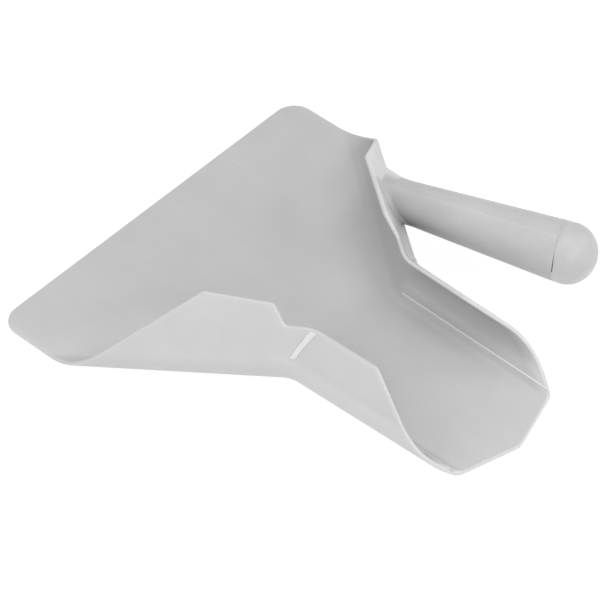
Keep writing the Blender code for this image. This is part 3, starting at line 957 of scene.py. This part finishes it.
def moulded_plastic(name, shade, painted_shading, roughness, mottle, streaks, streak_turn):
    """Satin moulded plastic: soft mottling, grain, flow streaks, scuffs and pale edges, whose
    paleness is a painted sheen.

    The darkening function that is passed in gives painted shade: how much darker a place is.
    """
    material, tree, shader = new_material(name)
    shader.inputs["IOR"].default_value = PLASTIC_IOR
    source = add_node(tree, "ShaderNodeTexCoord").outputs["Object"]
    polish_and_sheen = add_node(tree, "ShaderNodeAttribute", attribute_name="polish_and_sheen").outputs["Fac"]
    painted_light_and_shade = add_node(tree, "ShaderNodeAttribute", attribute_name="painted_shading").outputs["Fac"]

    cloud = noise(tree, source, CLOUDS, 3.0)
    patch = noise(tree, source, PATCHES, 2.0)
    grain = noise(tree, source, GRAIN, 2.0)
    flow = noise(tree, source, 1.0, 3.0, stretch=streaks, turn=(0.0, 0.0, streak_turn))
    scratches = []
    for stretch, turn, least in SCRATCHES:
        scratch = noise(tree, source, 1.0, 1.0, stretch=stretch, turn=(0.0, 0.0, turn))
        scratches.append(ranged(tree, scratch, least, least + SCRATCH_EDGE, 0.0, 1.0))
    scuffs = combine(tree, "MULTIPLY", combine(tree, "MAXIMUM", *scratches),
                     ranged(tree, cloud, *SCUFFED, SCUFFS_ELSEWHERE, 1.0))

    patches = mottle * PATCH_SHARE
    flows = mottle * FLOW_SHARE
    level = total(
        tree,
        spread(tree, cloud, -mottle, mottle),
        spread(tree, patch, -patches, patches),
        ranged(tree, flow, *FLOW_RANGE, -flows, flows),
        spread(tree, grain, -GRAIN_SWING, GRAIN_SWING),
        (scuffs, SCUFF_TONE),
        # the polish paints a paler sheen, and the tone paints light and shade
        (polish_and_sheen, POLISH_SHEEN_TONE),
        (painted_light_and_shade, PAINTED_SHADING_TONE),
        1.0,
    )
    level = combine(tree, "MULTIPLY", level, shade)
    # painted shade from the darkening function
    level = combine(tree, "MULTIPLY", level, combine(tree, "SUBTRACT", 1.0, painted_shading(tree, source)))
    add_grey(tree, shader, level)

    gloss = spread(tree, patch, roughness - GLOSS_SWING, roughness + GLOSS_SWING)
    gloss = total(tree, gloss, (scuffs, SCUFF_ROUGHNESS), (polish_and_sheen, -POLISH_SMOOTHNESS))
    tree.links.new(gloss, shader.inputs["Roughness"])

    height = combine(tree, "MULTIPLY", grain, GRAIN_RELIEF)
    peel = noise(tree, source, PEEL, 2.0)
    height = total(tree, height, (peel, PEEL_RELIEF), (scuffs, -SCUFF_RELIEF))
    add_bump(tree, shader, height, *PLASTIC_BUMP)
    return material


def zinc_steel(name):
    """Zinc-plated steel: fine grain and cloudy plating."""
    material, tree, shader = new_material(name)
    shader.inputs["Metallic"].default_value = 1.0
    source = add_node(tree, "ShaderNodeTexCoord").outputs["Object"]
    cloud = noise(tree, source, STEEL_CLOUDS, 3.0)
    brush = noise(tree, source, STEEL_GRAIN, 2.0)
    level = combine(tree, "ADD", spread(tree, cloud, *STEEL_SHADE),
                    spread(tree, brush, -STEEL_SWING, STEEL_SWING))
    add_grey(tree, shader, level, STEEL_TINT)
    tree.links.new(spread(tree, brush, *STEEL_ROUGHNESS), shader.inputs["Roughness"])
    add_bump(tree, shader, brush, *STEEL_BUMP)
    return material


# ---------------------------------------- stage
CAMERA_AZIMUTH = -47.25  # 0 is behind the outlet
CAMERA_ELEVATION = 45.58
CAMERA_ROLL = -0.66
CAMERA_TARGET = Vector((0.00167, 0.0214, 0.0022))
CAMERA_DISTANCE = 2.034
CAMERA_LENS = 245.2  # millimetres, like the sensor
CAMERA_SENSOR = 36.0
FAR = 20.0  # nothing further off is seen
FLOOR_HALF = 3.0
FLOOR_LEVEL = -0.0002
PAPER_SHADE = 0.12
PAPER_ROUGHNESS = 0.9
PAPER_GLOW = 0.90
WORLD_GLOW = 0.68
LIGHT_DISTANCE = 1.8
LIGHT_SIZE = 1.2
# azimuth, elevation and power in watts
LIGHTS = {
    "left": (-120.0, 30.0, 7.2),
    "front_left": (-30.0, 30.0, 9.3),
    "front": (15.0, 45.0, 7.7),
    "right": (60.0, 30.0, 6.2),
    "overhead": (0.0, 88.0, 5.7),
}


def add_camera():
    azimuth, roll = math.radians(CAMERA_AZIMUTH), math.radians(CAMERA_ROLL)
    back = heading(CAMERA_AZIMUTH, CAMERA_ELEVATION)
    level = Vector((math.cos(azimuth), math.sin(azimuth), 0.0))
    rise = back.cross(level)
    right = math.cos(roll) * level + math.sin(roll) * rise
    up = -math.sin(roll) * level + math.cos(roll) * rise
    data = bpy.data.cameras.new("camera")
    data.sensor_width = CAMERA_SENSOR
    data.lens = CAMERA_LENS
    data.clip_end = FAR
    item = add_object("camera", data)
    pose = Matrix((right, up, back)).transposed().to_4x4()
    pose.translation = CAMERA_TARGET + back * CAMERA_DISTANCE
    item.matrix_world = pose
    bpy.context.scene.camera = item


def add_floor():
    """A plain sheet that glows, so that it stays pale and even."""
    signs = ((-1, -1), (1, -1), (1, 1), (-1, 1))
    corners = [(FLOOR_HALF * x, FLOOR_HALF * y, FLOOR_LEVEL) for x, y in signs]
    mesh = bpy.data.meshes.new("floor")
    mesh.from_pydata(corners, [], [(0, 1, 2, 3)])
    material, _, shader = new_material("floor_paper")
    shader.inputs["Base Color"].default_value = (PAPER_SHADE, PAPER_SHADE, PAPER_SHADE, 1.0)
    shader.inputs["Roughness"].default_value = PAPER_ROUGHNESS
    shader.inputs["Emission Color"].default_value = (1.0, 1.0, 1.0, 1.0)
    shader.inputs["Emission Strength"].default_value = PAPER_GLOW
    mesh.materials.append(material)
    item = add_object("floor", mesh)


def add_area(name, azimuth, elevation, power):
    """Soft round light, aimed at the origin, with angles like the camera's."""
    place = heading(azimuth, elevation)
    data = bpy.data.lights.new(name, "AREA")
    data.shape = "DISK"
    data.size = LIGHT_SIZE
    data.energy = power
    item = add_object(name, data)
    item.location = place * LIGHT_DISTANCE
    item.rotation_euler = place.to_track_quat("Z", "Y").to_euler()


def add_lights():
    world = bpy.data.worlds.new("studio")
    bpy.context.scene.world = world
    world.use_nodes = True
    background = world.node_tree.nodes["Background"]
    background.inputs["Color"].default_value = (1.0, 1.0, 1.0, 1.0)
    background.inputs["Strength"].default_value = WORLD_GLOW
    for name, (azimuth, elevation, power) in LIGHTS.items():
        add_area(name, azimuth, elevation, power)


# ---------------------------------------- painted light and shade, and polish
# A tone above 0 is painted light and below 0 painted shade; a pair of tones is for a ramp's 0 and 1.
# Painted light on the floor along the wings, painted shade in their fillets and low on the outlet's
# walls, painted light under its rim.
FLOOR_TONE = (0.70, 1.30)  # beside the wings' fold lines, back and front
FLOOR_FRONT = (0.035, 0.055)
FLOOR_END = (0.100, 0.055)
FOLD = (-0.004, 0.0)  # from the fold line inwards
FLOOR_INSIDE = (0.045, 0.012)
FILLET_TONE = -0.8  # outside the fold lines
FILLET = (-0.004, -0.008)
FILLET_END = (0.080, 0.060)
OUTLET_TONE = (-0.8, 0.4)  # walls of the outlet, low down and under the rim
OUTLET_WALLS = (0.985, 0.865)
UNDER_RIM = (0.008, 0.002)
OUTLET_BACK = (0.010, -0.010)

# polish of the rim: glossier and worn, with its paler colour partly a painted sheen
RIM_POLISH_AND_SHEEN = 0.4
FLAT = 0.97  # least upward share of a floor's normal
# Painted light low on the outer walls and high on the wall with the handle.
OUTSIDE_TONE = (0.35, 0.85)  # low on the outer walls, front and back
OUTSIDE_BACK = (0.0, -0.03)
OUTSIDE_LOW = (0.6, 0.25)
TOP_TONE = 0.75  # high on the wall that has the handle
TOP_HEIGHT = (0.030, 0.040)
TOP_SIDE = (0.0, 0.01)
FACES_OUT = (0.0, 0.2)  # a normal's outward share
# Painted shade on the wall round the handle's foot, drawn out downwards.
FOOT_PAINTED_SHADE = (-1.3, -2.0)  # wall beside the foot, and further down
FOOT_SHADE_SPOKE = -8  # a little below the handle's side towards the pan
FOOT_SHADE_PLACE = GRIP_ROOT + spoke(FOOT_SHADE_SPOKE) * GRIP_ROOT_RADIUS
FOOT_SHADE_REACH = (0.019, 0.006)
FOOT_SHADE_DRAWN = 0.75  # how far the zone is drawn out downwards
FOOT_SHADE_DOWN = (0.0, 0.01)
# Painted shade on the neck's wall just behind the handle.
NECK_TONE = -1.2  # wall of the neck, just behind the handle
NECK_PLACE = Vector((0.0360, -0.0170, 0.0300))
NECK_REACH = (0.024, 0.014)

# Painted light on the foot's back and painted shade on the rest of it.
BOSS_TONE = (0.9, -1.3)  # the foot's back, away from the pan, and the rest of it
BOSS_TOP = (120.0, 92.0)
BOSS_UNDER = (-150.0, -120.0)
BOSS_LIFTED = 0.85  # share of the dark that is lifted low on its top
BOSS_LOW = (-0.0088, -0.0100)
BOSS_LOW_TURN = (70.0, 90.0)
# Ribs: painted shade on the handle side, polish with a painted highlight on the other side. Beads:
# polish with a painted highlight.
RIB_SHEEN_AND_SHADE = ((0.0, -0.8), (1.9, 0.0))  # handle side and other side
BEAD_POLISH_AND_SHEEN = ((2.4, 0.0), (0.3, 0.0))

# Painted light on the grip's top, more at the root.
GRIP_TOP = (60.0, 90.0)
GRIP_TOP_TONE = (0.35, 0.85)  # further on and at the root
GRIP_ROOT_END = (0.045, 0.0)
# polish of the parting lines, whose paler colour is a painted highlight
PARTING_POLISH_AND_SHEEN = 0.25
CAP_POLISH = 0.2
# Painted light beside the cap's seam and painted shade over its dome.
CAP_TONE = (0.40, -0.35)  # beside the seam and over the dome
CAP_DOME = (GRIP_LENGTH + 0.001, GRIP_LENGTH + 0.012)
# painted light on the cap's underside
CAP_UNDER_TONE = 1.2
CAP_NEAR = (25.0, -25.0)  # its underside, from one side
CAP_FAR = (-178.0, -148.0)  # and from the other


def handle_place(place):
    """Distance along the handle's axis and angle round it, in degrees."""
    offset = place - GRIP_ROOT
    return offset.dot(AXIS), math.degrees(math.atan2(offset.dot(ABOVE), offset.dot(ACROSS)))


def inner_painted_shading(place, normal, distance):
    """Painted light and shade on the inner faces: painted light on the floor along the wings,
    painted shade in their fillets and low on the outlet's walls, painted light under the rim.
    """
    turn = math.radians(WING_ANGLE)
    inside = (place.y - PAN_LENGTH / 2 + NECK_BACK) * math.sin(turn)
    inside -= (abs(place.x) - NECK_X) * math.cos(turn)
    # painted light on the floor along the wings, painted shade in their fillets
    wing = blend(FLOOR_TONE, ramp(place.y, *FLOOR_FRONT)) * ramp(place.y, *FLOOR_END)
    wing *= ramp(inside, *FOLD) * ramp(inside, *FLOOR_INSIDE)
    wing += FILLET_TONE * ramp(inside, *FILLET) * ramp(place.y, *FILLET_END)
    # painted shade low on the outlet's walls, painted light under the rim
    outlet = blend(OUTLET_TONE, ramp(distance, *UNDER_RIM)) * ramp(normal.z, *OUTLET_WALLS)
    return blend((wing, outlet), ramp(place.y, *OUTLET_BACK))


def outer_painted_shading(place, normal, outward):
    """Painted light and shade on the outer faces: painted light low down and at the top, painted
    shade round the handle's foot and on the neck behind it.
    """
    low = blend(OUTSIDE_TONE, ramp(place.y, *OUTSIDE_BACK)) * ramp(normal.z, *OUTSIDE_LOW)
    high = TOP_TONE * ramp(place.z, *TOP_HEIGHT) * ramp(place.x, *TOP_SIDE)
    # painted shade round the handle's foot, drawn out downwards
    offset = place - FOOT_SHADE_PLACE
    below = max(-offset.dot(ABOVE), 0.0)
    offset += ABOVE * below * FOOT_SHADE_DRAWN
    faces_out = ramp(outward, *FACES_OUT)
    foot_shade = ramp(offset.length, *FOOT_SHADE_REACH) * faces_out
    painted_shading = blend((low + high, blend(FOOT_PAINTED_SHADE, ramp(below, *FOOT_SHADE_DOWN))), foot_shade)
    # painted shade on the neck's wall just behind the handle
    neck = ramp((place - NECK_PLACE).length, *NECK_REACH) * faces_out
    return blend((painted_shading, NECK_TONE), neck)


def shell_polish_and_painted_shading(vertex, rim):
    """Polished rim with a painted sheen, and the painted light and shade of the inner and outer
    faces.
    """
    place, normal = vertex.co, vertex.normal
    _, _, distance = rim.find(place)
    polish_and_sheen = RIM_POLISH_AND_SHEEN * ramp(distance, RIM_RADIUS + EDGE_FADE, RIM_RADIUS)
    outward = normal.x * (1.0 if place.x > 0.0 else -1.0)
    if outward < 0.0 or normal.z > FLAT:
        return polish_and_sheen, inner_painted_shading(place, normal, distance)
    return polish_and_sheen, outer_painted_shading(place, normal, outward)


def boss_painted_shading(vertex):
    """Painted light behind, painted shade towards the pan."""
    distance, turn = handle_place(vertex.co)
    dark = ramp(turn, *BOSS_TOP) * ramp(turn, *BOSS_UNDER)
    dark *= 1.0 - BOSS_LIFTED * ramp(distance, *BOSS_LOW) * ramp(turn, *BOSS_LOW_TURN)
    return 0.0, blend(BOSS_TONE, dark)


def pan_polish_and_painted_shading(number, vertex, rim):
    """Polish and painted light and shade of the pan's shells: the pan itself, the boss, two ribs and
    two beads.
    """
    if number == 0:
        return shell_polish_and_painted_shading(vertex, rim)
    if number == 1:
        return boss_painted_shading(vertex)
    return (RIB_SHEEN_AND_SHADE + BEAD_POLISH_AND_SHEEN)[number - 2]


def grip_polish_and_painted_shading(number, vertex):
    """Polished parting lines with a painted highlight, and painted light on the top."""
    distance, turn = handle_place(vertex.co)
    top = ramp(turn, *GRIP_TOP) * blend(GRIP_TOP_TONE, ramp(distance, *GRIP_ROOT_END))
    return PARTING_POLISH_AND_SHEEN * on_parting(turn, distance), top


def cap_polish_and_painted_shading(number, vertex):
    """Painted light beside the seam and below, painted shade over the dome."""
    distance, turn = handle_place(vertex.co)
    below = CAP_UNDER_TONE * ramp(turn, *CAP_NEAR) * ramp(turn, *CAP_FAR)
    return CAP_POLISH, blend(CAP_TONE, ramp(distance, *CAP_DOME)) + below


# ---------------------------------------- assembly
bpy.context.scene.view_settings.view_transform = "Standard"

pan_plastic = moulded_plastic(
    "pan_plastic", shade=0.450, painted_shading=pan_corner_painted_shade, roughness=0.42, mottle=0.012,
    streaks=(60.0, 9.0, 60.0), streak_turn=0.0,
)
grip_plastic = moulded_plastic(
    "grip_plastic", shade=0.405, painted_shading=grip_root_painted_shade, roughness=0.38, mottle=0.022,
    streaks=(110.0, 14.0, 110.0), streak_turn=GRIP_OUTWARD,
)
steel = zinc_steel("zinc_steel")

shell = build_shell()
wall_tree = BVHTree.FromBMesh(shell)
rim = rim_tree()

pieces = [shell, build_boss(wall_tree), build_rib(1), build_rib(-1), build_bead(1), build_bead(-1)]
add_piece("pan_shell", pieces, pan_plastic, "scoop_pan",
          lambda number, vertex: pan_polish_and_painted_shading(number, vertex, rim))
add_piece("grip_tube", [build_grip()], grip_plastic, "handle_grip", grip_polish_and_painted_shading)
add_piece("grip_cap", [build_cap()], grip_plastic, "handle_end_cap", cap_polish_and_painted_shading)
for name in ("grip_screw", "grip_washer"):
    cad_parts[name].data.materials[0] = steel

add_camera()
add_floor()
add_lights()
